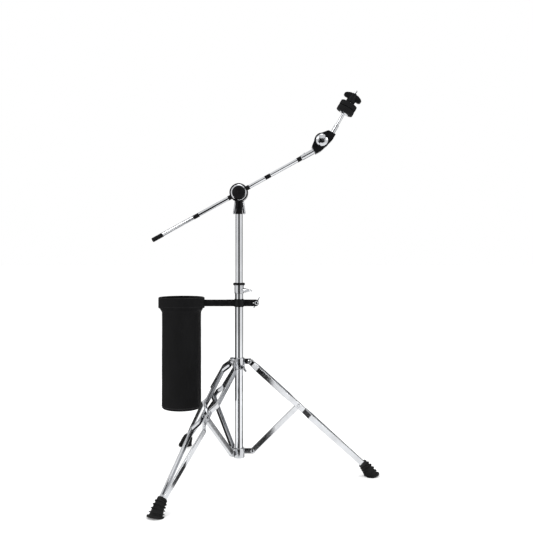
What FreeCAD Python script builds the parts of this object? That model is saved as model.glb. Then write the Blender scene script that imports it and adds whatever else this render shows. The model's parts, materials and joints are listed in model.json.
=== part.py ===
"""Cymbal boom stand with a clamp-on drumstick holder.

Frame: the origin is on the floor under the mast's axis, +Z up, +X towards the cymbal end of the boom.
Every piece is written where it sits with the tripod spread and the boom set. Millimetres.
"""
import FreeCAD
import Part
import math
import os

V = FreeCAD.Vector

# ---- driving dimensions -----------------------------------------------------------------------
RUNNING = 0.05          # radial clearance of a running fit
GAP = 0.3               # clearance between faces of bodies that pass each other

# mast
LOWER_TUBE_R = 12.7
LOWER_TUBE_BORE = 11.4
LOWER_TUBE_Z = (62.0, 578.0)
UPPER_TUBE_R = 11.1
UPPER_TUBE_BORE = 9.9
UPPER_TUBE_Z = (281.0, 792.0)
COLLAR_R = 14.2
COLLAR_Z = (552.0, 577.7)
COLLAR_SCREW_Z = 562.0
COLLAR_SCREW_AZ = -14.0
BUSH_R = 18.0
BUSH_TOP = 585.0

# tripod: pivots are (distance from the mast's axis, height)
LEG_AZIMUTHS = {"right": 0.0, "front_left": -120.0, "back_left": 120.0}
LEG_TOP_PIVOT = (32.0, 348.0)
STAY_PIVOT = (41.0, 77.0)
LEG_FROM_VERTICAL = 47.8
LEG_TO_MID_PIVOT = 199.6
LEG_STRIP_LENGTH = 478.0
STRIP_WIDTH = 16.0
STRIP_DEPTH = 5.0
STRIP_GAUGE = 1.5
STRIP_CORNER = 1.4
PINCH_HALF = 11.3        # half of the outer width where the strips are pinched together
KITE_HALF = 23.0
STAY_WIDTH = 14.5
STAY_HALF = 5.75
STAY_GAUGE = 1.4
PIVOT_R = 3.0
RIVET_HEAD_R = 5.6
BRACKET_HUB_R = 17.0
BRACKET_Z = (324.0, 359.0)
BRACKET_SCREW_Z = 331.0
BRACKET_SCREW_AZ = -60.0
STAY_HUB_R = 16.6
STAY_HUB_Z = (57.0, 87.0)

# rubber feet: each point is (distance from the mast axis, height)
FOOT_BOTTOM_TILT = 17.0
FOOT_BOTTOM = (402.0, 1.5)
FOOT_ENTRY = 462.0
FOOT_FINS = 5

# boom tilter and boom
BOOM_Y = -20.0
BOOM_Z = 856.0
BOOM_ANGLE = 28.9
BOOM_R = 6.35
BOOM_BORE = 4.85
BOOM_SPAN = (-293.0, 236.0)
BOOM_BANDS = (-146.0, 99.0)
BAND_LENGTH = 18.0
BAND_DEPTH = 0.5
DISC_R = 27.75
DISC_REAR = 8.0
CLAMP_Y = (-31.0, -8.3)
NECK_TOP_HALF = 13.5
NECK_BOTTOM_R = 11.1

# cymbal tilter: its axis is TILTER_OFFSET off the boom's axis and off the post's axis
TILTER_ALONG = 292.8
TILTER_OFFSET = 16.3
TILTER_R = 22.5
TILTER_HALF_Y = 13.0
DOME_R = 18.5
ARM_REACH = 35.8
POST_ANGLE = 60.0
POST_TIP = 182.3
FELT_BOTTOM = 105.4
FELT_TOP = 138.0
FELT_R = 26.5
THREAD_R = 3.0
POST_R = 4.75

# drumstick holder
HOLDER_X = -174.0
HOLDER_Z = (514.0, 534.0)
HOLDER_SLEEVE_R = 14.0
CLAMP_R = 17.0
ARM_END = 60.0
ARM_HALF = 3.4
BAG_R = 59.5
BAG_WALL = 2.2
BAG_BOTTOM = 206.0
RIM_TOP = 542.0
RIM_R = 70.0
RING_R = 68.0

X_AXIS = V(1, 0, 0)
Y_AXIS = V(0, 1, 0)
Z_AXIS = V(0, 0, 1)


# ---- helpers ----------------------------------------------------------------------------------
def rod(start, end, radius):
    """A cylinder from one point to another."""
    along = end - start
    return Part.makeCylinder(radius, along.Length, start, along)


def pipe(start, end, outer, inner):
    """A tube from one point to another."""
    spare = (end - start).normalize() * 1.0
    return rod(start, end, outer).cut(rod(start - spare, end + spare, inner))


def lathe(outline, base, axis):
    """A solid of revolution: outline holds (radius, height), heights run along axis from base."""
    points = [V(r, 0, h) for r, h in outline]
    face = Part.Face(Part.makePolygon(points + [points[0]]))
    solid = face.revolve(V(0, 0, 0), Z_AXIS, 360)
    turn = FreeCAD.Rotation(Z_AXIS, axis)
    solid.Placement = FreeCAD.Placement(base, turn)
    return solid


def rounded_disc(base, axis, radius, height, edge):
    """A disc with its two rims rounded."""
    disc = Part.makeCylinder(radius, height, base, axis)
    return disc.makeFillet(edge, [e for e in disc.Edges if e.Curve.TypeId == "Part::GeomCircle"])


def polar(distance, azimuth, height):
    """A point at a distance from the mast's axis."""
    turn = math.radians(azimuth)
    return V(distance * math.cos(turn), distance * math.sin(turn), height)


def group(shapes):
    """Separate solids kept in one piece's file."""
    return Part.makeCompound(shapes)


def wing(base, axis, across, hub_r, hub_height, span, lobe_r, thickness, lift):
    """A wing nut's body: a stepped hub and two round lobes that rise from it along axis."""
    side = across.cross(axis).normalize()
    hub = lathe([(0, 0), (hub_r, 0), (hub_r, hub_height * 0.45), (hub_r * 0.72, hub_height * 0.6),
                 (hub_r * 0.72, hub_height - 0.6), (hub_r * 0.72 - 0.6, hub_height), (0, hub_height)],
                base, axis)
    body = hub
    for sign in (-1, 1):
        centre = base + across * (sign * (span / 2 - lobe_r)) + axis * lift
        body = body.fuse(rounded_disc(centre - side * (thickness / 2), side, lobe_r, thickness,
                                      thickness * 0.3))
        root = base + axis * (hub_height * 0.35)
        arm = rod(root, centre, thickness * 0.48)
        body = body.fuse(arm)
    return body.removeSplitter()


def wing_bolt(azimuth, height, tip, shoulder, span, lobe_r, roll):
    """A wing bolt that points at the mast's axis; roll turns its wings from upright."""
    inward = polar(-1, azimuth, 0)
    outward = polar(1, azimuth, 0)
    across = FreeCAD.Rotation(outward, roll).multVec(Z_AXIS)
    shank = rod(polar(tip, azimuth, height), polar(shoulder + 1, azimuth, height), PIVOT_R)
    head = wing(polar(shoulder, azimuth, height), outward, across, 5.6, 9.0, span, lobe_r, 3.4, 10.0)
    point = lathe([(0, 0), (PIVOT_R, 0), (PIVOT_R * 0.6, 0.2), (0, 0.2)],
                  polar(tip, azimuth, height), inward)
    return shank.fuse(head).fuse(point).removeSplitter()


# ---- tripod -----------------------------------------------------------------------------------
class Leg:
    """One leg's directions: along it down to the foot, across its faces, and off its plane."""

    def __init__(self, azimuth):
        lean = math.radians(LEG_FROM_VERTICAL)
        self.azimuth = azimuth
        self.out = polar(1, azimuth, 0)
        self.side = polar(1, azimuth + 90, 0)
        self.along = self.out * math.sin(lean) - Z_AXIS * math.cos(lean)
        self.up = self.out * math.cos(lean) + Z_AXIS * math.sin(lean)
        self.top = polar(LEG_TOP_PIVOT[0], azimuth, LEG_TOP_PIVOT[1])
        self.mid = self.top + self.along * LEG_TO_MID_PIVOT
        self.stay = polar(STAY_PIVOT[0], azimuth, STAY_PIVOT[1])

    def at(self, along, side, up=0.0):
        """A point in the leg's own directions, from its top pivot."""
        return self.top + self.along * along + self.side * side + self.up * up


def filleted_wire(points, radius):
    """A path of straight runs joined by tangent arcs."""
    edges = []
    start = points[0]
    for before, corner, after in zip(points, points[1:], points[2:]):
        arrive = (corner - before).normalize()
        leave = (after - corner).normalize()
        half_turn = arrive.getAngle(leave) / 2
        back = radius * math.tan(half_turn)
        first = corner - arrive * back
        last = corner + leave * back
        inward = (leave - arrive).normalize()
        middle = corner + inward * (radius / math.cos(half_turn) - radius)
        edges.append(Part.LineSegment(start, first).toShape())
        edges.append(Part.Arc(first, middle, last).toShape())
        start = last
    edges.append(Part.LineSegment(start, points[-1]).toShape())
    return Part.Wire(edges)


def channel_section(width, depth, gauge, corner, place):
    """A U section: place(across, inward) gives a point; the web is at inward 0."""
    w = width / 2
    outer = [(-w, depth), (-w, corner), (-w + corner, 0), (w - corner, 0), (w, corner), (w, depth)]
    inner = [(w - gauge, depth), (w - gauge, gauge), (gauge - w, gauge), (gauge - w, depth)]
    bulge = corner * (1 - math.sqrt(0.5))
    p = [place(a, b) for a, b in outer]
    q = [place(a, b) for a, b in inner]
    edges = [
        Part.LineSegment(p[0], p[1]).toShape(),
        Part.Arc(p[1], place(-w + bulge, bulge), p[2]).toShape(),
        Part.LineSegment(p[2], p[3]).toShape(),
        Part.Arc(p[3], place(w - bulge, bulge), p[4]).toShape(),
        Part.LineSegment(p[4], p[5]).toShape(),
        Part.LineSegment(p[5], q[0]).toShape(),
        Part.LineSegment(q[0], q[1]).toShape(),
        Part.LineSegment(q[1], q[2]).toShape(),
        Part.LineSegment(q[2], q[3]).toShape(),
        Part.LineSegment(q[3], p[0]).toShape(),
    ]
    return Part.Wire(edges)


def leg_strip(leg, hand):
    """A pressed channel strip, pinched at its pivots and bowed out between them; hand is -1 or 1."""
    mid = LEG_TO_MID_PIVOT
    stations = [(-9.0, PINCH_HALF), (13.0, PINCH_HALF), (33.0, KITE_HALF + 1.5),
                (mid - 42.0, KITE_HALF), (mid - 21.0, PINCH_HALF), (mid + 21.0, PINCH_HALF),
                (mid + 44.0, KITE_HALF), (LEG_STRIP_LENGTH - 30.0, 8.2), (LEG_STRIP_LENGTH, 7.6)]
    path = filleted_wire([leg.at(s, hand * half) for s, half in stations], 9.0)

    def place(across, inward):
        return leg.at(stations[0][0], hand * (PINCH_HALF - inward), across)

    section = channel_section(STRIP_WIDTH, STRIP_DEPTH, STRIP_GAUGE, STRIP_CORNER, place)
    strip = path.makePipeShell([section], True, False)
    end = rod(leg.at(0, -40), leg.at(0, 40), STRIP_WIDTH / 2 + 0.3)
    beyond = Part.makeBox(LEG_STRIP_LENGTH + 5, 80, 30)
    beyond.Placement = FreeCAD.Placement(
        leg.at(0, -40, -15), FreeCAD.Rotation(leg.along, leg.side, leg.along.cross(leg.side), "XYZ"))
    strip = strip.common(end.fuse(beyond))
    top_hole = rod(leg.at(0, hand * 4), leg.at(0, hand * 14), PIVOT_R + RUNNING)
    mid_hole = rod(leg.at(mid, hand * 4), leg.at(mid, hand * 14), PIVOT_R)
    return strip.cut(top_hole).cut(mid_hole)


def mid_stubs(leg):
    """The two headed stubs at a leg's middle pivot, one in each strip."""
    stubs = []
    for hand in (-1, 1):
        inner = leg.at(LEG_TO_MID_PIVOT, hand * (PINCH_HALF - STRIP_DEPTH))
        outward = leg.side * hand
        web = STRIP_DEPTH
        stubs.append(lathe([(0, 0), (PIVOT_R, 0), (PIVOT_R, web), (RIVET_HEAD_R, web),
                            (RIVET_HEAD_R, web + 1.2), (RIVET_HEAD_R - 1.0, web + 2.0),
                            (PIVOT_R + 0.4, web + 2.0), (PIVOT_R - 0.2, web + 1.2), (0, web + 1.2)],
                           inner, outward))
    return stubs


def through_rivet(centre, side, half_grip):
    """A rivet across a pivot, with a domed head at each end."""
    end = half_grip + 2.0
    profile = [(0, -end), (RIVET_HEAD_R - 2.4, -end), (RIVET_HEAD_R, -half_grip - 0.7),
               (RIVET_HEAD_R, -half_grip), (PIVOT_R, -half_grip), (PIVOT_R, half_grip),
               (RIVET_HEAD_R, half_grip), (RIVET_HEAD_R, half_grip + 0.7),
               (RIVET_HEAD_R - 2.4, end), (0, end)]
    return lathe(profile, centre, side)


def foot_rivet(leg):
    """The rivet that ties a leg's two strips together inside its foot."""
    along = LEG_STRIP_LENGTH - 18.0
    return rod(leg.at(along, -6.2), leg.at(along, 6.2), 2.5)


def rubber_foot(leg, strips):
    """A finned rubber foot that bends from the leg's slope towards the floor."""
    entry = leg.at(FOOT_ENTRY, 0)
    bottom = polar(FOOT_BOTTOM[0], leg.azimuth, FOOT_BOTTOM[1])
    bend = entry + leg.along * 20.0
    sections = []
    discs = []
    steps = FOOT_FINS
    for i in range(steps + 1):
        t = i / steps
        centre = entry * (1 - t) ** 2 + bend * (2 * t * (1 - t)) + bottom * t ** 2
        tilt = math.radians(LEG_FROM_VERTICAL + (FOOT_BOTTOM_TILT - LEG_FROM_VERTICAL) * t)
        down = leg.out * math.sin(tilt) - Z_AXIS * math.cos(tilt)
        core = 12.4 + 5.6 * t
        sections.append(Part.Wire(Part.makeCircle(core, centre, down)))
        if i == 0:
            discs.append(rounded_disc(centre - down * 3.0, down, 14.0, 8.0, 2.0))
        elif i < steps:
            discs.append(rounded_disc(centre - down * 1.2, down, 15.6 + 6.4 * t, 2.4, 1.0))
        else:
            discs.append(rounded_disc(centre - down * 3.4, down, 23.0, 5.6, 1.6))
    foot = Part.makeLoft(sections, True, False)
    for disc in discs:
        foot = foot.fuse(disc)
    floor = Part.makeBox(1200, 1200, 60, V(-600, -600, -60))
    foot = foot.cut(floor)
    hollow = Part.makeBox(22.0, 2 * 8.6, STRIP_WIDTH + 0.6)
    hollow.Placement = FreeCAD.Placement(
        leg.at(LEG_STRIP_LENGTH - 21.0, -8.6, -STRIP_WIDTH / 2 - 0.3),
        FreeCAD.Rotation(leg.along, leg.side, leg.along.cross(leg.side), "XYZ"))
    foot = foot.cut(hollow)
    for strip in strips:
        foot = foot.cut(strip)
    return max(foot.Solids, key=lambda s: s.Volume)


def stay(leg):
    """A channel brace from the fixed bracket up to a leg's middle pivot, open on its upper side."""
    along = (leg.mid - leg.stay).normalize()
    length = (leg.mid - leg.stay).Length
    below = along.cross(leg.side).normalize()
    if below.z > 0:
        below = below * -1
    start = leg.stay - along * (STAY_WIDTH / 2)

    def place(across, inward):
        return start + leg.side * across + below * (STAY_WIDTH / 2 - inward)

    section = channel_section(2 * STAY_HALF, STAY_WIDTH, STAY_GAUGE, STRIP_CORNER, place)
    bar = Part.Face(section).extrude(along * (length + STAY_WIDTH))
    wide = leg.side * 20.0
    ends = rod(leg.stay - wide, leg.stay + wide, STAY_WIDTH / 2)
    ends = ends.fuse(rod(leg.mid - wide, leg.mid + wide, STAY_WIDTH / 2))
    middle = Part.makeBox(length, 40, 20)
    middle.Placement = FreeCAD.Placement(
        leg.stay - wide - below * 10, FreeCAD.Rotation(along, leg.side, along.cross(leg.side), "XYZ"))
    if along.cross(leg.side).dot(below) < 0:
        middle.translate(below * 20)
    bar = bar.common(ends.fuse(middle))
    inner = leg.side * (STAY_HALF - STAY_GAUGE)
    bar = bar.cut(rod(leg.stay - inner, leg.stay + inner, 9.0))
    bar = bar.cut(rod(leg.stay - wide, leg.stay + wide, PIVOT_R + RUNNING))
    return bar.cut(rod(leg.mid - wide, leg.mid + wide, PIVOT_R + RUNNING))


def lug(leg, pivot, hub_r, half_thickness, radius):
    """A bracket's ear, from its hub out to a pivot."""
    outline = rod(pivot - leg.side * half_thickness, pivot + leg.side * half_thickness, radius)
    reach = (pivot - V(0, 0, pivot.z)).Length - hub_r + 3.0
    block = Part.makeBox(reach, 2 * half_thickness, 2 * radius)
    block.Placement = FreeCAD.Placement(
        polar(hub_r - 3.0, leg.azimuth, pivot.z - radius) - leg.side * half_thickness,
        FreeCAD.Rotation(Z_AXIS, leg.azimuth))
    ear = outline.fuse(block)
    return ear.cut(rod(pivot - leg.side * 30, pivot + leg.side * 30, PIVOT_R))


def bracket(legs, bore, hub_r, heights, pivot_of, half_thickness, radius):
    """A hub on the mast with one ear for each leg."""
    low, high = heights
    hub = lathe([(0, low), (hub_r - 1.2, low), (hub_r, low + 1.2), (hub_r, high - 1.2),
                 (hub_r - 1.2, high), (0, high)], V(0, 0, 0), Z_AXIS)
    for leg in legs:
        hub = hub.fuse(lug(leg, pivot_of(leg), hub_r, half_thickness, radius))
    return hub.cut(rod(V(0, 0, low - 5), V(0, 0, high + 5), bore)).removeSplitter()


def leg_bracket(legs):
    """The sliding bracket that carries the legs, with a boss for its wing bolt."""
    hub = bracket(legs, LOWER_TUBE_R + RUNNING, BRACKET_HUB_R, BRACKET_Z, lambda leg: leg.top, 6.0, 8.0)
    boss = rod(polar(14.0, BRACKET_SCREW_AZ, BRACKET_SCREW_Z),
               polar(24.0, BRACKET_SCREW_AZ, BRACKET_SCREW_Z), 6.4)
    hole = rod(polar(5.0, BRACKET_SCREW_AZ, BRACKET_SCREW_Z),
               polar(30.0, BRACKET_SCREW_AZ, BRACKET_SCREW_Z), PIVOT_R + RUNNING)
    tube = rod(V(0, 0, 300), V(0, 0, 380), LOWER_TUBE_R + RUNNING)
    return hub.fuse(boss).cut(hole).cut(tube).removeSplitter()


def build_tripod(pieces):
    legs = [Leg(azimuth) for azimuth in LEG_AZIMUTHS.values()]
    for name, leg in zip(LEG_AZIMUTHS, legs):
        strips = [leg_strip(leg, hand) for hand in (-1, 1)]
        pieces[f"leg_{name}_strips"] = group(strips)
        pieces[f"leg_{name}_rivets"] = group(mid_stubs(leg) + [foot_rivet(leg)])
        pieces[f"leg_{name}_rubber_foot"] = rubber_foot(leg, strips)
        pieces[f"stay_{name}"] = stay(leg)
    pieces["leg_bracket"] = leg_bracket(legs)
    pieces["leg_bracket_rivets"] = group([through_rivet(leg.top, leg.side, PINCH_HALF + 0.2)
                                          for leg in legs])
    pieces["leg_bracket_wing_bolt"] = wing_bolt(BRACKET_SCREW_AZ, BRACKET_SCREW_Z, LOWER_TUBE_R + GAP,
                                                24.3, 25.0, 6.0, 25.0)
    pieces["stay_bracket"] = bracket(legs, LOWER_TUBE_R, STAY_HUB_R, STAY_HUB_Z,
                                     lambda leg: leg.stay, 4.0, 8.0)
    pieces["stay_bracket_rivets"] = group([through_rivet(leg.stay, leg.side, STAY_HALF + 0.2)
                                           for leg in legs])
    pieces["stay_bracket_plug"] = lathe([(0, 57.0), (12.2, 57.0), (12.2, 62.0), (LOWER_TUBE_BORE, 62.0),
                                         (LOWER_TUBE_BORE, 80.0), (0, 80.0)], V(0, 0, 0), Z_AXIS)


# ---- mast -------------------------------------------------------------------------------------
def build_mast(pieces):
    hole = rod(polar(5.0, COLLAR_SCREW_AZ, COLLAR_SCREW_Z),
               polar(30.0, COLLAR_SCREW_AZ, COLLAR_SCREW_Z), PIVOT_R + RUNNING)
    lower = pipe(V(0, 0, LOWER_TUBE_Z[0]), V(0, 0, LOWER_TUBE_Z[1]), LOWER_TUBE_R, LOWER_TUBE_BORE)
    pieces["lower_tube"] = lower.cut(hole)
    low, high = COLLAR_Z
    collar = lathe([(LOWER_TUBE_R, low), (COLLAR_R - 0.8, low), (COLLAR_R, low + 0.8),
                    (COLLAR_R, high - 2.4), (COLLAR_R + 1.2, high - 1.8), (COLLAR_R + 1.2, high),
                    (LOWER_TUBE_R, high)], V(0, 0, 0), Z_AXIS)
    boss = rod(polar(13.0, COLLAR_SCREW_AZ, COLLAR_SCREW_Z),
               polar(22.0, COLLAR_SCREW_AZ, COLLAR_SCREW_Z), 6.6)
    tube = rod(V(0, 0, low - 10), V(0, 0, high + 5), LOWER_TUBE_R)
    pieces["tube_collar"] = collar.fuse(boss).cut(tube).cut(hole).removeSplitter()
    pieces["collar_bush"] = lathe(
        [(UPPER_TUBE_R + RUNNING, 578.0), (BUSH_R - 1.0, 578.0), (BUSH_R, 579.0),
         (BUSH_R, BUSH_TOP - 2.2), (BUSH_R - 1.0, BUSH_TOP - 0.8), (BUSH_R - 2.6, BUSH_TOP),
         (UPPER_TUBE_R + RUNNING, BUSH_TOP)], V(0, 0, 0), Z_AXIS)
    pieces["collar_wing_bolt"] = wing_bolt(COLLAR_SCREW_AZ, COLLAR_SCREW_Z, UPPER_TUBE_R + GAP,
                                           22.3, 27.0, 6.8, 75.0)
    bottom, top = UPPER_TUBE_Z
    pieces["upper_tube"] = pipe(V(0, 0, bottom), V(0, 0, top), UPPER_TUBE_R, UPPER_TUBE_BORE)
    pieces["upper_tube_guide"] = lathe(
        [(0, bottom - 2.0), (UPPER_TUBE_R, bottom - 2.0), (UPPER_TUBE_R, bottom),
         (UPPER_TUBE_BORE, bottom), (UPPER_TUBE_BORE, bottom + 18.0), (0, bottom + 18.0)],
        V(0, 0, 0), Z_AXIS)


# ---- boom and its tilter ----------------------------------------------------------------------
PIVOT = V(0, BOOM_Y, BOOM_Z)
BOOM_DIR = V(math.cos(math.radians(BOOM_ANGLE)), 0, math.sin(math.radians(BOOM_ANGLE)))
BOOM_UP = V(-BOOM_DIR.z, 0, BOOM_DIR.x)


def on_boom(along, up=0.0, back=0.0):
    """A point measured along the boom from its tilter."""
    return PIVOT + BOOM_DIR * along + BOOM_UP * up + Y_AXIS * back


def tilter_neck():
    """The casting on top of the mast: a spigot in the tube, a tapered neck and the toothed disc."""
    top = UPPER_TUBE_Z[1]
    spigot = rod(V(0, 0, top - 32), V(0, 0, top + 4), UPPER_TUBE_BORE - RUNNING)
    base = Part.Wire(Part.makeCircle(NECK_BOTTOM_R, V(0, 0, top + 0.3), Z_AXIS))
    waist = Part.Wire(Part.makeCircle(NECK_BOTTOM_R - 1.2, V(0, 0, top + 14.0), Z_AXIS))
    shoulders = Part.Wire(Part.Ellipse(V(NECK_TOP_HALF, 0, top + 42), V(0, DISC_REAR, top + 42),
                                       V(0, 0, top + 42)).toShape())
    neck = Part.makeLoft([base, waist, shoulders], True, False)
    centre = V(0, 0, BOOM_Z)
    disc = rounded_disc(centre - Y_AXIS * DISC_REAR, Y_AXIS, DISC_R, 2 * DISC_REAR, 1.2)
    casting = spigot.fuse(neck).fuse(disc)
    front = Part.makeBox(120, 60, 120, V(-60, -DISC_REAR - 60, BOOM_Z - 60))
    hole = rod(centre - Y_AXIS * 40, centre + Y_AXIS * 40, 4.0 + RUNNING)
    return casting.cut(front).cut(hole).removeSplitter()


def tilter_clamp():
    """The clamp body on the boom, with the boom's bore and a pocket for the eye bolt."""
    front, rear = CLAMP_Y
    centre = V(0, 0, BOOM_Z)
    body = rounded_disc(centre + Y_AXIS * front, Y_AXIS, DISC_R, rear - front, 1.2)
    body = body.cut(rod(on_boom(-60), on_boom(60), BOOM_R + RUNNING))
    for sign in (-1, 1):
        body = body.cut(rod(on_boom(sign * 20), on_boom(sign * 60), 7.0))
    body = body.cut(rod(centre + Y_AXIS * (front - 1), centre + Y_AXIS * -10.5, 11.5))
    return body.cut(rod(centre - Y_AXIS * 12, centre - Y_AXIS * 8, 4.0 + RUNNING))


def eye_bolt():
    """The bolt whose eye holds the boom and whose shank pulls the two discs together."""
    centre = V(0, BOOM_Y, BOOM_Z)
    eye = rod(on_boom(-7.0), on_boom(7.0), 8.8)
    shank = rod(centre + Y_AXIS * 3, centre + Y_AXIS * 44, 4.0)
    eye = eye.fuse(shank).cut(rod(on_boom(-20), on_boom(20), BOOM_R + RUNNING))
    return eye.removeSplitter()


def tilter_lever_nut():
    """The nut behind the tilter: a hub with two rounded finger arms that hang beside the neck."""
    centre = V(0, 0, BOOM_Z)
    hub = lathe([(0, 0), (11.0, 0), (11.0, 7.0), (8.0, 12.0), (8.0, 18.0), (0, 18.0)],
                centre + Y_AXIS * (DISC_REAR + 0.2), Y_AXIS)
    nut = hub
    for sign in (-1, 1):
        high = centre + V(sign * 7.0, 17.5, -2.0)
        low = centre + V(sign * 15.0, 17.5, -59.0)
        nut = nut.fuse(rod(high, low, 4.3)).fuse(Part.makeSphere(4.3, low))
    return nut.cut(rod(centre, centre + Y_AXIS * 60, 4.0 + RUNNING)).removeSplitter()


def build_boom_tilter(pieces):
    centre = V(0, 0, BOOM_Z)
    front = CLAMP_Y[0]
    pieces["tilter_neck"] = tilter_neck()
    pieces["tilter_clamp"] = tilter_clamp()
    pieces["tilter_eye_bolt"] = eye_bolt()
    pieces["tilter_boom_bushes"] = group([pipe(on_boom(sign * 20), on_boom(sign * 36), 7.0,
                                               BOOM_R + RUNNING) for sign in (-1, 1)])
    pieces["tilter_trim_ring"] = lathe(
        [(18.5, 0), (23.5, 0), (23.5, 1.2), (22.4, 2.4), (20.0, 3.0), (18.5, 3.0)],
        centre + Y_AXIS * front, Y_AXIS * -1)
    dome = [(0, 0), (18.5, 0), (18.5, 2.2)]
    dome += [(18.0 * math.cos(math.radians(a)), 2.4 + 2.6 * math.sin(math.radians(a)))
             for a in (0, 20, 40, 60, 75)]
    dome += [(0, 5.0)]
    pieces["tilter_front_cap"] = lathe(dome, centre + Y_AXIS * front, Y_AXIS * -1)
    pieces["tilter_cap_button"] = lathe([(0, 0), (4.6, 0), (4.2, 1.0), (2.6, 1.5), (0, 1.5)],
                                        centre + Y_AXIS * (front - 5.0), Y_AXIS * -1)
    pieces["tilter_lever_nut"] = tilter_lever_nut()


def boom_rod():
    """The boom's tube, with shallow grooves for its grip bands."""
    tube = pipe(on_boom(BOOM_SPAN[0]), on_boom(BOOM_SPAN[1]), BOOM_R, BOOM_BORE)
    for middle in BOOM_BANDS:
        half = BAND_LENGTH / 2
        tube = tube.cut(pipe(on_boom(middle - half), on_boom(middle + half), BOOM_R + 1,
                             BOOM_R - BAND_DEPTH))
    return tube


def build_boom(pieces):
    half = BAND_LENGTH / 2
    start = BOOM_SPAN[0]
    pieces["boom_rod"] = boom_rod()
    pieces["boom_grip_bands"] = group([pipe(on_boom(m - half), on_boom(m + half), BOOM_R,
                                            BOOM_R - BAND_DEPTH) for m in BOOM_BANDS])
    cap = lathe([(0, -3.0), (5.6, -3.0), (6.7, -1.8), (6.7, 32.5), (6.35, 33.0), (BOOM_R, 33.0),
                 (BOOM_R, 0), (BOOM_BORE, 0), (BOOM_BORE, 12.0), (0, 12.0)],
                on_boom(start), BOOM_DIR)
    pieces["boom_end_cap"] = cap
    ring = pipe(on_boom(200.0), on_boom(214.0), 7.2, BOOM_R + RUNNING)
    for i in range(5):
        ring = ring.cut(pipe(on_boom(201.6 + 2.6 * i), on_boom(202.6 + 2.6 * i), 9.0, 6.8))
    pieces["boom_lock_ring"] = ring


# ---- cymbal tilter and post -------------------------------------------------------------------
TILTER = on_boom(TILTER_ALONG, TILTER_OFFSET)
POST_DIR = V(math.cos(math.radians(POST_ANGLE)), 0, math.sin(math.radians(POST_ANGLE)))
POST_UP = V(-POST_DIR.z, 0, POST_DIR.x)
POST_BASE = TILTER - POST_UP * TILTER_OFFSET


def on_post(along, up=0.0, back=0.0):
    """A point measured along the cymbal post from beside the tilter's axis."""
    return POST_BASE + POST_DIR * along + POST_UP * up + Y_AXIS * back


def tilter_half(face, direction, up):
    """One half of the cymbal tilter: a disc on one side of the joint face and a teardrop arm.

    The arm is full width outside the other half's disc. direction runs out along the arm and up is
    square to it, away from the rod that the arm holds.
    """
    disc = rounded_disc(TILTER + Y_AXIS * (0.15 * face), Y_AXIS * face, TILTER_R,
                        TILTER_HALF_Y - 0.15, 1.2)
    outline = [(ARM_REACH, -26.5), (ARM_REACH, -3.0), (ARM_REACH - 3.0, 0.5), (15.0, 15.0), (0, 0),
               (0, -TILTER_R), (11.0, -25.5), (18.0, -27.0), (ARM_REACH - 1.0, -27.0)]
    front = TILTER - Y_AXIS * TILTER_HALF_Y
    points = [front + direction * s + up * n for s, n in outline]
    arm = Part.Face(Part.makePolygon(points + [points[0]])).extrude(Y_AXIS * (2 * TILTER_HALF_Y))
    half = disc.fuse(arm)
    spare = rod(TILTER - Y_AXIS * (face * 30.0), TILTER + Y_AXIS * (face * 0.15), TILTER_R + 0.6)
    half = half.cut(spare)
    return half.cut(rod(TILTER - Y_AXIS * 40, TILTER + Y_AXIS * 40, 4.0 + RUNNING))


def build_cymbal_tilter(pieces):
    lower = tilter_half(1, BOOM_DIR * -1, BOOM_UP)
    pieces["cymbal_tilter_lower"] = lower.cut(rod(on_boom(240), on_boom(270), 5.0)).removeSplitter()
    socket = lathe([(BOOM_R + RUNNING, 214.3), (7.6, 214.3), (8.35, 215.4), (8.35, 254.6),
                    (9.4, 255.2), (9.4, 256.9), (0, 256.9), (0, 238.0), (BOOM_R + RUNNING, 238.0)],
                   PIVOT, BOOM_DIR)
    socket = socket.fuse(rod(on_boom(256.9), on_boom(266.0), 5.0))
    screw_hole = rod(on_boom(228, 0), on_boom(228, 12), 2.5)
    pieces["boom_socket"] = socket.cut(screw_hole).removeSplitter()
    pieces["boom_socket_screw"] = rod(on_boom(228, BOOM_R + GAP), on_boom(228, 9.6), 2.5)
    upper = tilter_half(-1, POST_DIR, POST_UP)
    post_hole = rod(on_post(26.0), on_post(60.0), 5.0)
    pieces["cymbal_tilter_upper"] = upper.cut(post_hole).removeSplitter()
    dome_y = -TILTER_HALF_Y
    dome = [(0, 0), (DOME_R, 0), (DOME_R, 0.8)]
    dome += [(DOME_R * math.cos(math.radians(a)), 0.8 + 6.2 * math.sin(math.radians(a)))
             for a in (15, 30, 45, 60, 75)]
    dome += [(0, 7.0)]
    pieces["cymbal_tilter_dome"] = lathe(dome, TILTER + Y_AXIS * dome_y, Y_AXIS * -1)
    pieces["cymbal_tilter_bolt"] = rod(TILTER - Y_AXIS * TILTER_HALF_Y, TILTER + Y_AXIS * 38, 4.0)
    seat = TILTER + Y_AXIS * (TILTER_HALF_Y + 0.2)
    nut = wing(seat, Y_AXIS, POST_DIR, 8.0, 12.0, 46.0, 8.5, 4.6, 15.0)
    pieces["cymbal_tilter_wing_nut"] = nut.cut(rod(TILTER, TILTER + Y_AXIS * 60, 4.0 + RUNNING))


def cymbal_wing_nut():
    """A moulded thumb nut: a round hub under two thick wings whose tops run in one arch."""
    base = FELT_TOP + 3.0
    half_outline = [(13.6, 9.0), (23.0, 9.0), (28.2, 12.5), (28.2, 19.0), (23.0, 24.0), (12.0, 28.5)]
    outline = half_outline + [(-u, h) for u, h in reversed(half_outline)]
    points = [on_post(base + h, u, -7.0) for u, h in outline]
    wings = Part.Face(Part.makePolygon(points + [points[0]])).extrude(Y_AXIS * 14.0)
    wings = wings.makeFillet(2.2, wings.Edges)
    hub = lathe([(0, 0), (12.6, 0), (13.7, 1.1), (13.7, 11.0), (12.0, 16.0), (9.0, 27.5),
                 (6.0, 30.6), (0, 31.0)], on_post(base), POST_DIR)
    bore = rod(on_post(base - 1), on_post(POST_TIP + 5), THREAD_R + RUNNING)
    return hub.fuse(wings).cut(bore).removeSplitter()


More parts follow.
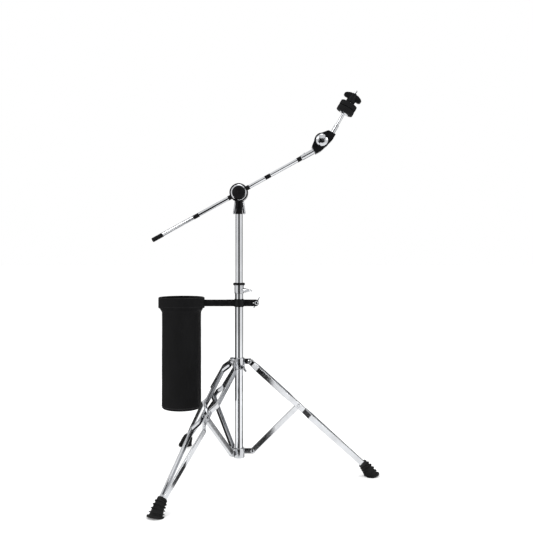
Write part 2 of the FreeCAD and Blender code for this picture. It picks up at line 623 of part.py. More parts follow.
def build_post(pieces):
    seat = FELT_BOTTOM - 4.2
    pieces["post_sleeve"] = lathe([(POST_R, 36.1), (7.2, 36.1), (7.2, 38.4), (6.5, 39.0), (6.5, 62.5),
                                   (5.9, 64.0), (POST_R, 64.0)], POST_BASE, POST_DIR)
    pieces["cymbal_post"] = lathe([(0, 26.0), (5.0, 26.0), (5.0, 36.0), (POST_R, 36.0),
                                   (POST_R, seat), (THREAD_R, seat), (THREAD_R, POST_TIP - 0.8),
                                   (THREAD_R - 0.8, POST_TIP), (0, POST_TIP)], POST_BASE, POST_DIR)
    pieces["cymbal_seat_cup"] = lathe([(THREAD_R, seat), (9.0, seat), (14.0, seat + 2.6),
                                       (14.0, seat + 4.1), (7.0, seat + 4.1), (THREAD_R, seat + 4.1)],
                                      POST_BASE, POST_DIR)
    pieces["cymbal_sleeve"] = pipe(on_post(FELT_BOTTOM), on_post(FELT_TOP + 1.0), 5.6, THREAD_R + 0.1)
    middle = (FELT_BOTTOM + FELT_TOP) / 2
    for name, low, high in (("cymbal_felt_lower", FELT_BOTTOM, middle - 0.2),
                            ("cymbal_felt_upper", middle + 0.2, FELT_TOP)):
        felt = rounded_disc(on_post(low), POST_DIR, FELT_R, high - low, 1.4)
        pieces[name] = felt.cut(rod(on_post(low - 5), on_post(high + 5), 5.7))
    pieces["cymbal_wing_nut"] = cymbal_wing_nut()


# ---- drumstick holder -------------------------------------------------------------------------
def holder_plate(front, left):
    """A clamp plate on one side of the mast: flat ends and a half-round middle."""
    low, high = HOLDER_Z
    middle = (low + high) / 2
    half = (high - low) / 2
    flat = Part.makeBox(ARM_END - half - left, 2 * ARM_HALF, 2 * half, V(left, -ARM_HALF, low))
    tip = rod(V(ARM_END - half, -ARM_HALF, middle), V(ARM_END - half, ARM_HALF, middle), half)
    jaw = rod(V(0, 0, low), V(0, 0, high), CLAMP_R)
    body = flat.fuse(tip).fuse(jaw)
    body = body.cut(rod(V(0, 0, low - 5), V(0, 0, high + 5), HOLDER_SLEEVE_R + RUNNING))
    for x, radius in ((-28.0, 3.0), (30.0, 3.0), (43.5, 1.6), (53.0, 3.0 + RUNNING)):
        body = body.cut(rod(V(x, -20, middle), V(x, 20, middle), radius))
    keep = Part.makeBox(400, 60, 60, V(-300, -60.3 if front else 0.3, low - 10))
    return body.common(keep).removeSplitter()


def build_holder(pieces):
    low, high = HOLDER_Z
    middle = (low + high) / 2
    centre = V(HOLDER_X, 0, 0)
    pieces["holder_sleeve"] = pipe(V(0, 0, low - 2), V(0, 0, high + 2), HOLDER_SLEEVE_R,
                                   LOWER_TUBE_R + RUNNING)
    ring = pipe(V(HOLDER_X, 0, low), V(HOLDER_X, 0, high), RING_R, RING_R - 2.0)
    arm_start = HOLDER_X + RING_R - 1.0
    inside = rod(V(HOLDER_X, 0, low - 5), V(HOLDER_X, 0, high + 5), RING_R)
    pieces["holder_arm"] = holder_plate(True, arm_start).cut(inside)
    pieces["holder_ring"] = ring
    pieces["holder_clamp_plate"] = holder_plate(False, -40.0)
    bolts = []
    for x in (-28.0, 30.0):
        bolts.append(lathe([(0, -ARM_HALF - 2.4), (3.6, -ARM_HALF - 2.4), (5.4, -ARM_HALF - 1.0),
                            (5.4, -ARM_HALF), (3.0, -ARM_HALF), (3.0, ARM_HALF), (5.2, ARM_HALF),
                            (5.2, ARM_HALF + 4.0), (0, ARM_HALF + 4.0)], V(x, 0, middle), Y_AXIS))
    pieces["holder_clamp_bolts"] = group(bolts)
    pieces["holder_screw"] = lathe([(0, -ARM_HALF - 2.2), (3.8, -ARM_HALF - 2.2),
                                    (5.6, -ARM_HALF - 1.0), (5.6, -ARM_HALF - 0.05),
                                    (3.0, -ARM_HALF - 0.05), (3.0, 20.0), (0, 20.0)],
                                   V(53.0, 0, middle), Y_AXIS)
    lean = math.radians(62.0)
    across = V(math.cos(lean), 0, math.sin(lean))
    nut = wing(V(53.0, ARM_HALF + 0.2, middle), Y_AXIS, across, 6.0, 9.0, 38.0, 6.4, 3.2, 9.0)
    pieces["holder_wing_nut"] = nut.cut(rod(V(53, 0, middle), V(53, 40, middle), 3.0 + RUNNING))

    inner = BAG_R - BAG_WALL
    flare = RING_R - 2.0
    pieces["holder_bag"] = lathe(
        [(0, BAG_BOTTOM), (BAG_R - 8, BAG_BOTTOM), (BAG_R - 3, BAG_BOTTOM + 2.0),
         (BAG_R, BAG_BOTTOM + 8.0), (BAG_R, 496.0), (flare, 508.0), (flare, RIM_TOP - 2.5),
         (flare - BAG_WALL, RIM_TOP - 2.5), (flare - BAG_WALL, 509.0), (inner, 497.0),
         (inner, BAG_BOTTOM + 8.0), (inner - 5, BAG_BOTTOM + 3.0), (0, BAG_BOTTOM + 3.0)],
        centre, Z_AXIS)
    cuff = lathe(
        [(RING_R, 509.0), (RIM_R - 0.8, 509.0), (RIM_R, 511.0), (RIM_R, RIM_TOP - 2.5),
         (RIM_R - 2.0, RIM_TOP), (flare - BAG_WALL + 1.0, RIM_TOP), (flare - BAG_WALL, RIM_TOP - 2.5),
         (flare, RIM_TOP - 2.5), (RING_R, RIM_TOP - 2.5)], centre, Z_AXIS)
    slot = Part.makeBox(30, 2 * ARM_HALF + 1.0, high - low + 1.0,
                        V(HOLDER_X + RING_R - 6, -ARM_HALF - 0.5, low - 0.5))
    pieces["holder_cuff"] = cuff.cut(slot)


def main():
    pieces = {}
    build_mast(pieces)
    build_tripod(pieces)
    build_boom_tilter(pieces)
    build_boom(pieces)
    build_cymbal_tilter(pieces)
    build_post(pieces)
    build_holder(pieces)
    os.makedirs("parts", exist_ok=True)
    for name, shape in pieces.items():
        if not shape.isValid():
            print("not valid:", name)
        shape.exportStep(f"parts/{name}.step")
    print(len(pieces), "pieces")


main()
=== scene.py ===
"""Looks of the cymbal boom stand: materials on the CAD frame, the fabric stick bag and the felts.

Everything is in metres, in the frame's own coordinates: +Z up, the mast on the Z axis,
+X towards the cymbal end of the boom, the viewer on the -Y side.
"""
import bpy
import json
import math
from mathutils import Matrix, Vector, noise


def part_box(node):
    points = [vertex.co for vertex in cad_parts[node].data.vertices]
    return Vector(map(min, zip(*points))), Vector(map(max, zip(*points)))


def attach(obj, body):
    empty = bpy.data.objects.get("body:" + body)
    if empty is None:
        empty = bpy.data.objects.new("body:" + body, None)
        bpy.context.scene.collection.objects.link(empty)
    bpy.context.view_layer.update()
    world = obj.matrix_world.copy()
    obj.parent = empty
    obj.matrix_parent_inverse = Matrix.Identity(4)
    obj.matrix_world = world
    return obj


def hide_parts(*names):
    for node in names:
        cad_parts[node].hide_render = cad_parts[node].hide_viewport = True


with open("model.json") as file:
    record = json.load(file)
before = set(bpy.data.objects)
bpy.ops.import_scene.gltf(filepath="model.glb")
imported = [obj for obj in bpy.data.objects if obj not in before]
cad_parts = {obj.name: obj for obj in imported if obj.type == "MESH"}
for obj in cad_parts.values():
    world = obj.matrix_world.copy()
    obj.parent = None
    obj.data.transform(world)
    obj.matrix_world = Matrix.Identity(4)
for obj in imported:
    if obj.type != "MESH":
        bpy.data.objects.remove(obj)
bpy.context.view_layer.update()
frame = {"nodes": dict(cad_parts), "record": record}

# ---- driving values ---------------------------------------------------------------------------
CAMERA_AT = (0.083, -2.24, 0.684)
CAMERA_LENS = 50.0
CAMERA_SHIFT = -0.031
POST_AXIS = Vector((0.5, 0.0, math.sqrt(0.75)))    # along the cymbal post, 60 degrees up
THREAD_PITCH = 0.001

BAG_RINGS = 150          # rows of the bag's outside wall
BAG_SIDES = 192          # points round the bag
BAG_R = 0.0595           # outside radius of the bag
BAG_WALL = 0.0022        # thickness of the bag's cloth with its lining
BAG_SAG = 0.0011         # depth of the soft vertical folds
CUFF_SIDES = 360
CUFF_ROWS = 44
CUFF_PUCKER = 0.00045
ARM_SLOT_HALF = 0.0046   # half the width of the cuff's slot for the holder's arm
STITCH_LENGTH = 0.0034
STITCH_PITCH = 0.0052
STITCH_THICKNESS = 0.00032
STITCH_GAP = 0.09        # half the angle at the arm that is left without stitches, in radians
FELT_SIDES = 160
FELT_ROWS = 64
FELT_FUZZ = 0.00035
FELT_EDGE = 0.0012
FELT_BORE = 0.0058

FLOOR_REACH = 30.0
FLOOR_GLOW = 0.12        # lifts the pale floor to the white of the studio
CARD_DARK = (0.004, 0.004, 0.004)


# ---- materials --------------------------------------------------------------------------------
def new_material(name):
    """A node material: returns it with its tree and its Principled shader."""
    material = bpy.data.materials.new(name)
    material.use_nodes = True
    tree = material.node_tree
    return material, tree, tree.nodes["Principled BSDF"]


def object_point(tree, scale=(1.0, 1.0, 1.0)):
    """The point on the piece in the frame's own metres, scaled."""
    source = tree.nodes.new("ShaderNodeTexCoord")
    mapping = tree.nodes.new("ShaderNodeMapping")
    mapping.inputs["Scale"].default_value = scale
    tree.links.new(source.outputs["Object"], mapping.inputs["Vector"])
    return mapping.outputs["Vector"]


def noise_value(tree, scale, detail=3.0, roughness=0.55, stretch=(1.0, 1.0, 1.0)):
    """Fractal noise between 0 and 1 over the piece."""
    texture = tree.nodes.new("ShaderNodeTexNoise")
    texture.inputs["Scale"].default_value = scale
    texture.inputs["Detail"].default_value = detail
    texture.inputs["Roughness"].default_value = roughness
    tree.links.new(object_point(tree, stretch), texture.inputs["Vector"])
    return texture.outputs["Fac"]


def ramp(tree, value, low, high, at=(0.3, 0.7)):
    """A colour that runs from low to high as value runs between the two places."""
    node = tree.nodes.new("ShaderNodeValToRGB")
    first, last = node.color_ramp.elements
    first.position, last.position = at
    first.color = (*low, 1.0)
    last.color = (*high, 1.0)
    tree.links.new(value, node.inputs["Fac"])
    return node.outputs["Color"]


def spread(tree, value, low, high):
    """A number between low and high."""
    node = tree.nodes.new("ShaderNodeMapRange")
    node.inputs["To Min"].default_value = low
    node.inputs["To Max"].default_value = high
    tree.links.new(value, node.inputs["Value"])
    return node.outputs["Result"]


def bump(tree, shader, height, strength, distance):
    """Fine relief on the shader from a height."""
    node = tree.nodes.new("ShaderNodeBump")
    node.inputs["Strength"].default_value = strength
    node.inputs["Distance"].default_value = distance
    tree.links.new(height, node.inputs["Height"])
    tree.links.new(node.outputs["Normal"], shader.inputs["Normal"])


def combine(tree, operation, first, second):
    """One sum on two numbers or sockets."""
    node = tree.nodes.new("ShaderNodeMath")
    node.operation = operation
    for socket, value in zip(node.inputs, (first, second)):
        if isinstance(value, (int, float)):
            socket.default_value = value
        else:
            tree.links.new(value, socket)
    return node.outputs["Value"]


def chrome(name, tint, rough, waviness, dull):
    """Plated steel: bright metal with faint haze, polishing scratches and a trace of orange peel."""
    material, tree, shader = new_material(name)
    shader.inputs["Metallic"].default_value = 1.0
    haze = noise_value(tree, 38.0, 4.0)
    dark = tuple(c * dull for c in tint)
    tree.links.new(ramp(tree, haze, dark, tint), shader.inputs["Base Color"])
    tree.links.new(spread(tree, noise_value(tree, 95.0), rough * 0.6, rough * 1.6),
                   shader.inputs["Roughness"])
    bump(tree, shader, noise_value(tree, 160.0, 2.0), waviness, 0.0004)
    return material


def coated_metal(name, colour, rough):
    """Black coated castings and strip: lacquer with a fine texture and a thin clear coat."""
    material, tree, shader = new_material(name)
    light = tuple(c * 2.4 for c in colour)
    patches = noise_value(tree, 60.0, 5.0)
    tree.links.new(ramp(tree, patches, colour, light), shader.inputs["Base Color"])
    tree.links.new(spread(tree, noise_value(tree, 240.0), rough * 0.7, rough * 1.4),
                   shader.inputs["Roughness"])
    shader.inputs["Specular IOR Level"].default_value = 0.08
    shader.inputs["Coat Weight"].default_value = 0.06
    shader.inputs["Coat Roughness"].default_value = 0.08
    bump(tree, shader, noise_value(tree, 900.0, 3.0), 0.10, 0.0003)
    return material


def moulded(name, colour, rough, grain_scale, grain):
    """Moulded nylon or rubber: satin, with a fine spark-eroded grain and rubbed patches."""
    material, tree, shader = new_material(name)
    light = tuple(c * 2.2 + 0.002 for c in colour)
    patches = noise_value(tree, 45.0, 4.0)
    tree.links.new(ramp(tree, patches, colour, light), shader.inputs["Base Color"])
    tree.links.new(spread(tree, noise_value(tree, 120.0), rough * 0.8, min(1.0, rough * 1.2)),
                   shader.inputs["Roughness"])
    shader.inputs["Specular IOR Level"].default_value = 0.05
    bump(tree, shader, noise_value(tree, grain_scale, 4.0), grain, 0.0004)
    return material


def woven(name, colour, thread):
    """Black woven nylon: crossed threads, a colour darker in the soft creases as painted shade, and
    a trace of sheen.
    """
    material, tree, shader = new_material(name)
    weave = []
    for direction in ("X", "Z"):
        wave = tree.nodes.new("ShaderNodeTexWave")
        wave.bands_direction = direction
        wave.inputs["Scale"].default_value = 1.0 / (thread * 20.0)
        wave.inputs["Distortion"].default_value = 0.6
        wave.inputs["Detail"].default_value = 1.0
        tree.links.new(object_point(tree, (20.0, 20.0, 20.0)), wave.inputs["Vector"])
        weave.append(wave.outputs["Fac"])
    cloth = combine(tree, "MAXIMUM", *weave)
    creases = noise_value(tree, 14.0, 5.0, 0.6, (1.0, 1.0, 0.45))
    # The colour follows the relief: darker where the soft creases sink, painted shade in the folds;
    # the weave adds thread grain.
    thread_grain_and_crease_shade = combine(tree, "ADD", combine(tree, "MULTIPLY", cloth, 0.35),
                   combine(tree, "MULTIPLY", creases, 0.65))
    light = tuple(c * 2.6 for c in colour)
    tree.links.new(ramp(tree, thread_grain_and_crease_shade, colour, light, (0.3, 0.75)), shader.inputs["Base Color"])
    tree.links.new(spread(tree, creases, 0.50, 0.72), shader.inputs["Roughness"])
    shader.inputs["Specular IOR Level"].default_value = 0.05
    shader.inputs["Sheen Weight"].default_value = 0.012
    shader.inputs["Sheen Roughness"].default_value = 0.45
    height = combine(tree, "ADD", combine(tree, "MULTIPLY", cloth, 0.35), creases)
    bump(tree, shader, height, 0.35, 0.0012)
    return material


def felt(name, colour):
    """Pressed black wool: short matted fibres with a dusty sheen."""
    material, tree, shader = new_material(name)
    fibres = noise_value(tree, 1500.0, 6.0, 0.75)
    light = tuple(c * 3.2 for c in colour)
    tree.links.new(ramp(tree, fibres, colour, light), shader.inputs["Base Color"])
    tree.links.new(spread(tree, noise_value(tree, 200.0), 0.88, 1.0), shader.inputs["Roughness"])
    shader.inputs["Specular IOR Level"].default_value = 0.08
    shader.inputs["Sheen Weight"].default_value = 0.010
    shader.inputs["Sheen Roughness"].default_value = 0.6
    bump(tree, shader, fibres, 0.7, 0.0008)
    return material


def threaded(name, tint, rough):
    """The cymbal post: chrome, with rolled thread ridges near its upper end."""
    material, tree, shader = new_material(name)
    shader.inputs["Metallic"].default_value = 1.0
    dark = tuple(c * 0.8 for c in tint)
    tree.links.new(ramp(tree, noise_value(tree, 60.0), dark, tint), shader.inputs["Base Color"])
    tree.links.new(spread(tree, noise_value(tree, 200.0), rough * 0.6, rough * 1.6),
                   shader.inputs["Roughness"])
    low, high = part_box("cymbal_felt_upper")
    start = POST_AXIS.dot((low + high) / 2)
    dot = tree.nodes.new("ShaderNodeVectorMath")
    dot.operation = "DOT_PRODUCT"
    dot.inputs[1].default_value = POST_AXIS
    tree.links.new(object_point(tree), dot.inputs[0])
    along = dot.outputs["Value"]
    turns = combine(tree, "MULTIPLY", along, 2 * math.pi / THREAD_PITCH)
    ridge = combine(tree, "SINE", turns, 0.0)
    above = combine(tree, "GREATER_THAN", along, start)
    bump(tree, shader, combine(tree, "MULTIPLY", ridge, above), 0.9, 0.0004)
    return material


BLACK = (0.0035, 0.0035, 0.0038)
MATERIALS = {
    "chrome_tube": chrome("chrome_tube", (0.66, 0.67, 0.69), 0.035, 0.004, 0.90),
    "chrome_cast": chrome("chrome_cast", (0.58, 0.59, 0.61), 0.085, 0.030, 0.82),
    "chrome_strip": chrome("chrome_strip", (0.62, 0.63, 0.65), 0.14, 0.015, 0.86),
    "chrome_thread": threaded("chrome_thread", (0.78, 0.79, 0.81), 0.08),
    "black_cast": coated_metal("black_cast", BLACK, 0.22),
    "black_steel": coated_metal("black_steel", BLACK, 0.38),
    "black_plastic": moulded("black_plastic", BLACK, 0.36, 700.0, 0.12),
    "rubber": moulded("rubber", (0.008, 0.008, 0.008), 0.62, 420.0, 0.22),
    "bag_fabric": woven("bag_fabric", (0.0032, 0.0032, 0.0034), 0.0009),
    "bag_thread": moulded("bag_thread", (0.02, 0.02, 0.021), 0.6, 900.0, 0.3),
    "felt": felt("felt", (0.004, 0.004, 0.0042)),
}


def dress_frame():
    """Give every CAD piece the material of its slot in the record."""
    for entry in frame["record"]["subparts"]:
        piece = frame["nodes"][entry["node"]]
        name = entry["material_slot"]
        if entry["node"] == "cymbal_post":
            name = "chrome_thread"
        if not piece.material_slots:
            piece.data.materials.append(None)
        for material_slot in piece.material_slots:
            material_slot.material = MATERIALS[name]


# ---- mesh helpers -----------------------------------------------------------------------------
def add_mesh(name, points, faces, material):
    """A smooth-shaded piece made of points and faces."""
    mesh = bpy.data.meshes.new(name)
    mesh.from_pydata([tuple(p) for p in points], [], faces)
    mesh.update()
    mesh.polygons.foreach_set("use_smooth", [True] * len(mesh.polygons))
    piece = bpy.data.objects.new(name, mesh)
    bpy.context.scene.collection.objects.link(piece)
    piece.data.materials.append(MATERIALS[material])
    return piece


def ring_faces(rows, sides, closed_rows=False):
    """Quads between neighbouring rows of a ring-shaped grid."""
    faces = []
    pairs = [(r, r + 1) for r in range(rows - 1)]
    if closed_rows:
        pairs.append((rows - 1, 0))
    for low, high in pairs:
        for i in range(sides):
            j = (i + 1) % sides
            faces.append((low * sides + i, low * sides + j, high * sides + j, high * sides + i))
    return faces


def resample(outline, count):
    """count points evenly spaced along an outline of (radius, height)."""
    steps = [math.dist(a, b) for a, b in zip(outline, outline[1:])]
    total = sum(steps)
    points = []
    for k in range(count):
        want = total * k / (count - 1)
        i = 0
        while i < len(steps) - 1 and want > steps[i]:
            want -= steps[i]
            i += 1
        t = min(1.0, want / steps[i])
        (r0, h0), (r1, h1) = outline[i], outline[i + 1]
        points.append((r0 + (r1 - r0) * t, h0 + (h1 - h0) * t))
    return points


def arc(centre, radius, first, last, count=7):
    """Points on a round stretch of an outline, by angle in degrees."""
    angles = [math.radians(first + (last - first) * i / (count - 1)) for i in range(count)]
    return [(centre[0] + radius * math.cos(a), centre[1] + radius * math.sin(a)) for a in angles]


# ---- the stick bag ----------------------------------------------------------------------------
bag_low, bag_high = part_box("holder_bag")
cuff_low, cuff_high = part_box("holder_cuff")
BAG_CENTRE = (bag_low + bag_high) / 2
RIM_R = (cuff_high.x - cuff_low.x) / 2
BAG_Z = bag_low.z
NECK_Z = cuff_low.z


def bag_fold(angle, height):
    """How far the cloth sinks in: long vertical folds that fade towards the rim and the base."""
    from_base = max(0.0, min(1.0, (height - BAG_Z) / 0.05))
    from_rim = max(0.0, min(1.0, (NECK_Z - height) / 0.03))
    x, y = math.cos(angle), math.sin(angle)
    long_folds = noise.noise(Vector((x * 2.6, y * 2.6, height * 5.0)))
    dimples = noise.noise(Vector((x * 6.0, y * 6.0, height * 26.0 + 7.0)))
    return -BAG_SAG * (from_base * from_rim) * (0.55 + 0.9 * long_folds + 0.45 * dimples)


def build_bag():
    """One closed shell of cloth: up the outside wall, over the rim, down the lining to the base."""
    outside = [(0.0005, BAG_Z + 0.0012), (0.030, BAG_Z + 0.0008), (BAG_R - 0.009, BAG_Z + 0.0002)]
    outside += arc((BAG_R - 0.0075, BAG_Z + 0.0075), 0.0075, -80, 0)
    outside += [(BAG_R, NECK_Z - 0.012), (BAG_R + 0.0058, NECK_Z - 0.0015)]
    outside += [(BAG_R + 0.0063, NECK_Z + 0.002), (BAG_R + 0.0063, cuff_high.z - 0.003)]
    inside = [(BAG_R + 0.0045, cuff_high.z - 0.003), (BAG_R + 0.0043, NECK_Z)]
    inside += [(BAG_R - BAG_WALL, NECK_Z - 0.013), (BAG_R - BAG_WALL, BAG_Z + 0.012)]
    inside += [(BAG_R - BAG_WALL - 0.006, BAG_Z + 0.0042), (0.0005, BAG_Z + 0.0035)]
    outline = resample(outside, BAG_RINGS) + resample(inside, BAG_RINGS // 2)
    points = []
    for radius, height in outline:
        for i in range(BAG_SIDES):
            angle = 2 * math.pi * i / BAG_SIDES
            seam = 0.0005 * math.exp(-((angle - math.pi / 2) / 0.02) ** 2)
            r = radius
            if radius > 0.045:
                r += bag_fold(angle, height) - seam
            points.append((BAG_CENTRE.x + r * math.cos(angle), r * math.sin(angle), height))
    rows = len(outline)
    faces = ring_faces(rows, BAG_SIDES)
    faces.append(tuple(range(BAG_SIDES - 1, -1, -1)))
    faces.append(tuple((rows - 1) * BAG_SIDES + i for i in range(BAG_SIDES)))
    bag = add_mesh("stick_bag", points, faces, "bag_fabric")
    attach(bag, "holder")
    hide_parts("holder_bag")


def torus_band(name, radius, height, thickness, squash, material):
    """A sewn cord or binding round the bag."""
    sides, rows = 256, 10
    points = []
    for k in range(rows):
        turn = 2 * math.pi * k / rows
        for i in range(sides):
            angle = 2 * math.pi * i / sides
            swell = 1.0 + 0.10 * math.sin(angle * 90)
            r = radius + thickness * math.cos(turn) * swell
            z = height + thickness * squash * math.sin(turn)
            points.append((BAG_CENTRE.x + r * math.cos(angle), r * math.sin(angle), z))
    band = add_mesh(name, points, ring_faces(rows, sides, True), material)
    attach(band, "holder")


def build_cuff():
    """The bag's top, folded out over the ring: a puckered band with a slot for the arm."""
    arm_low, arm_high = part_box("holder_arm")
    half_slot = ARM_SLOT_HALF / RIM_R
    ring_r = RIM_R - 0.0019
    lip = cuff_high.z
    outline = [(ring_r, NECK_Z + 0.0004)]
    outline += arc((RIM_R - 0.0012, NECK_Z + 0.0014), 0.0011, -120, 0, 5)
    outline += [(RIM_R, NECK_Z + 0.010), (RIM_R, lip - 0.008)]
    outline += arc((RIM_R - 0.0035, lip - 0.0037), 0.0034, 0, 90, 7)
    outline += [(RIM_R - 0.0055, lip - 0.0002)]
    outline += arc((RIM_R - 0.0055, lip - 0.0022), 0.0019, 90, 180, 5)
    outline += [(ring_r - 0.0042, lip - 0.0026), (ring_r, lip - 0.0032)]
    profile = resample(outline, CUFF_ROWS)
    rows = len(profile)
    points = []
    for radius, height in profile:
        for i in range(CUFF_SIDES):
            angle = 2 * math.pi * i / CUFF_SIDES
            pucker = noise.noise(Vector((math.cos(angle) * 9, math.sin(angle) * 9, height * 30)))
            fold = math.sin(angle * 34 + 1.7 * math.sin(angle * 3))
            near_hem = max(0.0, 1.0 - (height - NECK_Z) / 0.014)
            r = radius - CUFF_PUCKER * (0.8 + pucker + 0.35 * fold * (0.4 + near_hem)) * 0.6
            if radius < ring_r + 0.0006:
                r = radius
            points.append((BAG_CENTRE.x + r * math.cos(angle), r * math.sin(angle), height))
    faces = []
    for face in ring_faces(rows, CUFF_SIDES, True):
        centre = sum((Vector(points[i]) for i in face), Vector()) / 4
        angle = math.atan2(centre.y, centre.x - BAG_CENTRE.x)
        at_arm = arm_low.z - 0.001 < centre.z < arm_high.z + 0.001
        if not (abs(angle) < half_slot and at_arm):
            faces.append(face)
    cuff = add_mesh("bag_cuff", points, faces, "bag_fabric")
    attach(cuff, "holder")
    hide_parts("holder_cuff")


def stitch_mesh(length, thickness):
    """One stitch, a short thread that dips into the cloth at both ends."""
    rows, sides = 7, 6
    points = []
    for k in range(rows):
        t = k / (rows - 1) * 2 - 1
        lift = thickness * (1.0 - 1.9 * t ** 4)
        for i in range(sides):
            a = 2 * math.pi * i / sides
            points.append(Vector((t * length / 2, math.cos(a) * thickness,
                                  lift + math.sin(a) * thickness)))
    return points, ring_faces(rows, sides)


def build_stitching(name, radius, height):
    """A row of stitches round the bag at one height."""
    local, local_faces = stitch_mesh(STITCH_LENGTH, STITCH_THICKNESS)
    count = int(2 * math.pi * radius / STITCH_PITCH)
    points, faces = [], []
    for k in range(count):
        angle = 2 * math.pi * k / count
        if abs(math.atan2(math.sin(angle), math.cos(angle))) < STITCH_GAP:
            continue
        base = len(points)
        out = Vector((math.cos(angle), math.sin(angle), 0))
        along = Vector((-math.sin(angle), math.cos(angle), 0))
        centre = Vector((BAG_CENTRE.x, 0, height)) + out * radius
        for p in local:
            points.append(centre + along * p.x + Vector((0, 0, 1)) * p.y + out * p.z)
        faces += [tuple(base + i for i in face) for face in local_faces]
    row = add_mesh(name, points, faces, "bag_thread")
    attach(row, "holder")


# ---- cymbal felts -----------------------------------------------------------------------------
POST_TURN = POST_AXIS.to_track_quat("Z", "Y").to_matrix().to_4x4()


def build_felt(node, seed):
    """A punched felt washer with crisp edges, matted faces and a slight barrel to its wall."""
    low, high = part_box(node)
    centre = (low + high) / 2
    outer = (high.y - low.y) / 2
    inner = FELT_BORE
    half = ((high.z - low.z) - 2 * outer * POST_AXIS.x) / POST_AXIS.z / 2
    edge = FELT_EDGE
    outline = [(inner, -half + edge * 0.5), (inner + edge, -half)]
    outline += arc((outer - edge, -half + edge), edge, -90, 0, 5)
    outline += [(outer, 0.0)]
    outline += arc((outer - edge, half - edge), edge, 0, 90, 5)
    outline += [(inner + edge, half), (inner, half - edge * 0.5)]
    profile = resample(outline, FELT_ROWS)
    place = Matrix.Translation(centre) @ POST_TURN
    points = []
    for radius, height in profile:
        barrel = 0.0003 * (1 - (height / half) ** 2)
        for i in range(FELT_SIDES):
            angle = 2 * math.pi * i / FELT_SIDES
            here = Vector((math.cos(angle) * radius, math.sin(angle) * radius, height))
            fuzz = FELT_FUZZ * noise.noise(here * 420.0 + Vector((seed, 0, 0)))
            r = radius
            if radius > outer - 0.004:
                r = radius - 0.0004 + barrel + fuzz
            shrink = 1.0 - 0.02 * abs(noise.noise(here * 160.0 + Vector((0, seed, 0))))
            local = Vector((math.cos(angle) * r, math.sin(angle) * r, height * shrink))
            points.append(place @ local)
    piece = add_mesh(node.replace("cymbal_", "soft_"), points,
                     ring_faces(len(profile), FELT_SIDES, True), "felt")
    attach(piece, "cymbal_arm")
    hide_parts(node)


# ---- studio -----------------------------------------------------------------------------------
def mirror_card(name, corners):
    """A dark card that only mirror-like surfaces see: it gives the plated tubes dark lines."""
    mesh = bpy.data.meshes.new(name)
    mesh.from_pydata(corners, [], [tuple(range(len(corners)))])
    card = bpy.data.objects.new(name, mesh)
    bpy.context.scene.collection.objects.link(card)
    material = bpy.data.materials.new(name)
    material.use_nodes = True
    shader = material.node_tree.nodes["Principled BSDF"]
    shader.inputs["Base Color"].default_value = (*CARD_DARK, 1.0)
    shader.inputs["Roughness"].default_value = 1.0
    card.data.materials.append(material)
    card.visible_camera = False
    card.visible_diffuse = False
    card.visible_shadow = False
    card.visible_transmission = False


def wedge(azimuth, half_angle, near, far, height):
    """A floor wedge that spreads from the mast, by azimuth in degrees."""
    corners = []
    for distance, side in ((near, -1), (far, -1), (far, 1), (near, 1)):
        a = math.radians(azimuth + side * half_angle)
        corners.append((distance * math.cos(a), distance * math.sin(a), height))
    return corners


def wall(azimuth, half_angle, distance, top):
    """An upright card across an azimuth, facing the mast."""
    first, last = (math.radians(azimuth + side * half_angle) for side in (-1, 1))
    return [(distance * math.cos(first), distance * math.sin(first), 0.0),
            (distance * math.cos(last), distance * math.sin(last), 0.0),
            (distance * math.cos(last), distance * math.sin(last), top),
            (distance * math.cos(first), distance * math.sin(first), top)]


def build_floor():
    """A plain pale floor, wide enough to meet the studio's white without an edge."""
    mesh = bpy.data.meshes.new("studio_floor")
    reach = FLOOR_REACH
    corners = [(-reach, -reach, 0), (reach, -reach, 0), (reach, reach, 0), (-reach, reach, 0)]
    mesh.from_pydata(corners, [], [(0, 1, 2, 3)])
    floor = bpy.data.objects.new("studio_floor", mesh)
    bpy.context.scene.collection.objects.link(floor)
    material = bpy.data.materials.new("studio_floor")
    material.use_nodes = True
    shader = material.node_tree.nodes["Principled BSDF"]
    shader.inputs["Base Color"].default_value = (0.93, 0.93, 0.93, 1.0)
    shader.inputs["Roughness"].default_value = 0.9
    shader.inputs["Specular IOR Level"].default_value = 0.1
    shader.inputs["Emission Color"].default_value = (1.0, 1.0, 1.0, 1.0)
    shader.inputs["Emission Strength"].default_value = FLOOR_GLOW
    floor.data.materials.append(material)


def upright_card(left, right, y, bottom, top):
    """The corners of an upright card square to the Y axis."""
    return [(left, y, bottom), (right, y, bottom), (right, y, top), (left, y, top)]


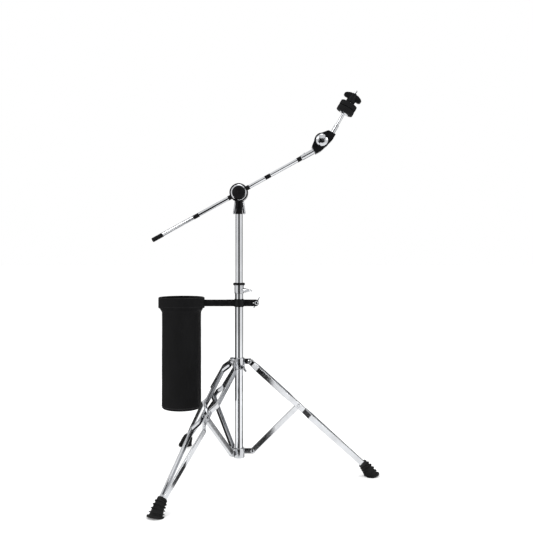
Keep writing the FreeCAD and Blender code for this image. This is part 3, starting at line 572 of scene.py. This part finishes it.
def build_cards():
    """The dark cards: near the mast, round the camera, up to the right, and in the back corners."""
    mirror_card("card_front", upright_card(-0.105, 0.105, -0.25, 0.0, 0.84))
    mirror_card("card_camera_side", upright_card(-0.9, 1.2, -2.6, 0.25, 1.95))
    mirror_card("card_high_right", [(2.7, -2.0, 1.9), (2.7, 2.0, 1.9), (1.7, 2.0, 2.9),
                                    (1.7, -2.0, 2.9)])
    half_angle = 20.0
    for name, azimuth in (("back_left", 147.0), ("back_right", 37.0)):
        mirror_card(f"floor_card_{name}", wedge(azimuth, half_angle, 0.05, 3.0, 0.0015))
        mirror_card(f"wall_card_{name}", wall(azimuth, half_angle, 3.0, 4.5))


def area_light(name, place, target, size, power):
    """A soft round lamp that faces a target."""
    light = bpy.data.lights.new(name, "AREA")
    light.shape = "DISK"
    light.size = size
    light.energy = power
    lamp = bpy.data.objects.new(name, light)
    lamp.location = place
    lamp.rotation_euler = (Vector(target) - Vector(place)).to_track_quat("-Z", "Y").to_euler()
    bpy.context.scene.collection.objects.link(lamp)


def build_lights():
    """An even white studio with three weak soft lamps."""
    scene = bpy.context.scene
    world = bpy.data.worlds.new("studio")
    world.use_nodes = True
    background = world.node_tree.nodes["Background"]
    background.inputs["Color"].default_value = (1.0, 1.0, 1.0, 1.0)
    background.inputs["Strength"].default_value = 1.0
    scene.world = world
    scene.view_settings.view_transform = "Standard"
    area_light("key", (-1.9, -2.2, 2.6), (0, 0, 0.6), 1.0, 26.0)
    area_light("fill", (2.4, -1.6, 1.8), (0, 0, 0.6), 0.9, 16.0)
    area_light("top", (0.2, 0.4, 3.2), (0, 0, 0.5), 1.4, 18.0)


def build_camera():
    """A level camera; its small shift sets the framing."""
    camera = bpy.data.cameras.new("camera")
    camera.lens = CAMERA_LENS
    camera.sensor_width = 36.0
    camera.shift_y = CAMERA_SHIFT
    holder = bpy.data.objects.new("camera", camera)
    holder.location = CAMERA_AT
    holder.rotation_euler = (math.radians(90.0), 0.0, 0.0)
    bpy.context.scene.collection.objects.link(holder)
    bpy.context.scene.camera = holder


build_camera()
build_lights()
build_floor()
build_cards()
dress_frame()
build_bag()
build_cuff()
torus_band("bag_base_piping", BAG_R - 0.0006, BAG_Z + 0.0085, 0.0011, 0.8, "bag_thread")
build_stitching("cuff_stitching", RIM_R - 0.0004, NECK_Z + 0.0055)
build_stitching("base_stitching", BAG_R - 0.0007, BAG_Z + 0.0145)
build_felt("cymbal_felt_lower", 3.0)
build_felt("cymbal_felt_upper", 11.0)
